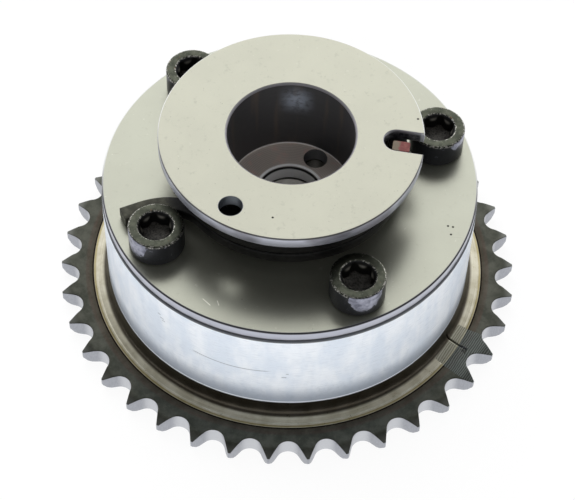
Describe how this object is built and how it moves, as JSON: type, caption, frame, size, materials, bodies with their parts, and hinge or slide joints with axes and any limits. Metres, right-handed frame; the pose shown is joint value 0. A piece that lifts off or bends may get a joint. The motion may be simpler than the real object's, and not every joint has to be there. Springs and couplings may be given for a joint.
{
  "type": "cam phaser",
  "caption": "Oil-driven vane cam phaser: chain sprocket housing with bolted cover plate, turning vane rotor, front bush disc and torsion bias spring.",
  "frame": {"origin": "on the camshaft axis, in the plane of the sprocket's rear face", "axes": "+Z along the camshaft axis towards the front disc; +X and +Y across it, the disc's open slot points about along +X"},
  "size_m": [0.0998, 0.0996, 0.0486],
  "materials": {
    "housing_steel": "turned and machined, light scratches",
    "cover_steel": "ground, satin",
    "bush_steel": "ground, satin",
    "black_bolt_steel": "black oxide, chipped edges",
    "spring_steel": "black oxide, oiled",
    "rotor_steel": "sintered and machined",
    "dowel_steel": "hardened, ground",
    "lock_pin_steel": "hardened, ground",
    "lock_cap_steel": "turned",
    "lock_seat_steel": "hardened, ground",
    "lock_spring_steel": "drawn wire",
    "leaf_steel": "rolled strip",
    "seal_polymer": "filled polymer"
  },
  "bodies": {
    "housing": {"sprocket_housing": "housing_steel", "cover_plate": "cover_steel", "cover_bolt_1": "black_bolt_steel", "cover_bolt_2": "black_bolt_steel", "cover_bolt_3": "black_bolt_steel", "cover_bolt_4": "black_bolt_steel", "lock_pin_seat": "lock_seat_steel", "bias_spring": "spring_steel", "lobe_seal_1": "seal_polymer", "lobe_seal_2": "seal_polymer", "lobe_seal_3": "seal_polymer", "lobe_seal_4": "seal_polymer", "lobe_seal_spring_1": "leaf_steel", "lobe_seal_spring_2": "leaf_steel", "lobe_seal_spring_3": "leaf_steel", "lobe_seal_spring_4": "leaf_steel"},
    "rotor": {"rotor": "rotor_steel", "front_bush": "bush_steel", "bush_dowel": "dowel_steel", "lock_pin_cap": "lock_cap_steel", "lock_pin_spring": "lock_spring_steel", "vane_seal_1": "seal_polymer", "vane_seal_2": "seal_polymer", "vane_seal_3": "seal_polymer", "vane_seal_4": "seal_polymer", "vane_seal_spring_1": "leaf_steel", "vane_seal_spring_2": "leaf_steel", "vane_seal_spring_3": "leaf_steel", "vane_seal_spring_4": "leaf_steel"},
    "lock_pin": {"lock_pin": "lock_pin_steel"}
  },
  "joints": [
    {"name": "rotor_turn", "type": "hinge", "parent": "housing", "child": "rotor", "pos_m": [0, 0, 0], "axis": [0, 0, 1], "range_deg": [0, 22.5], "stiffness_Nm_per_rad": 1.5, "springref_deg": -28.65, "deforming": ["bias_spring"]},
    {"name": "lock_pin_slide", "type": "slide", "parent": "rotor", "child": "lock_pin", "axis": [0, 0, 1], "range_m": [0, 0.0015], "stiffness_N_per_m": 800, "springref_m": -0.004, "deforming": ["lock_pin_spring"]}
  ]
}
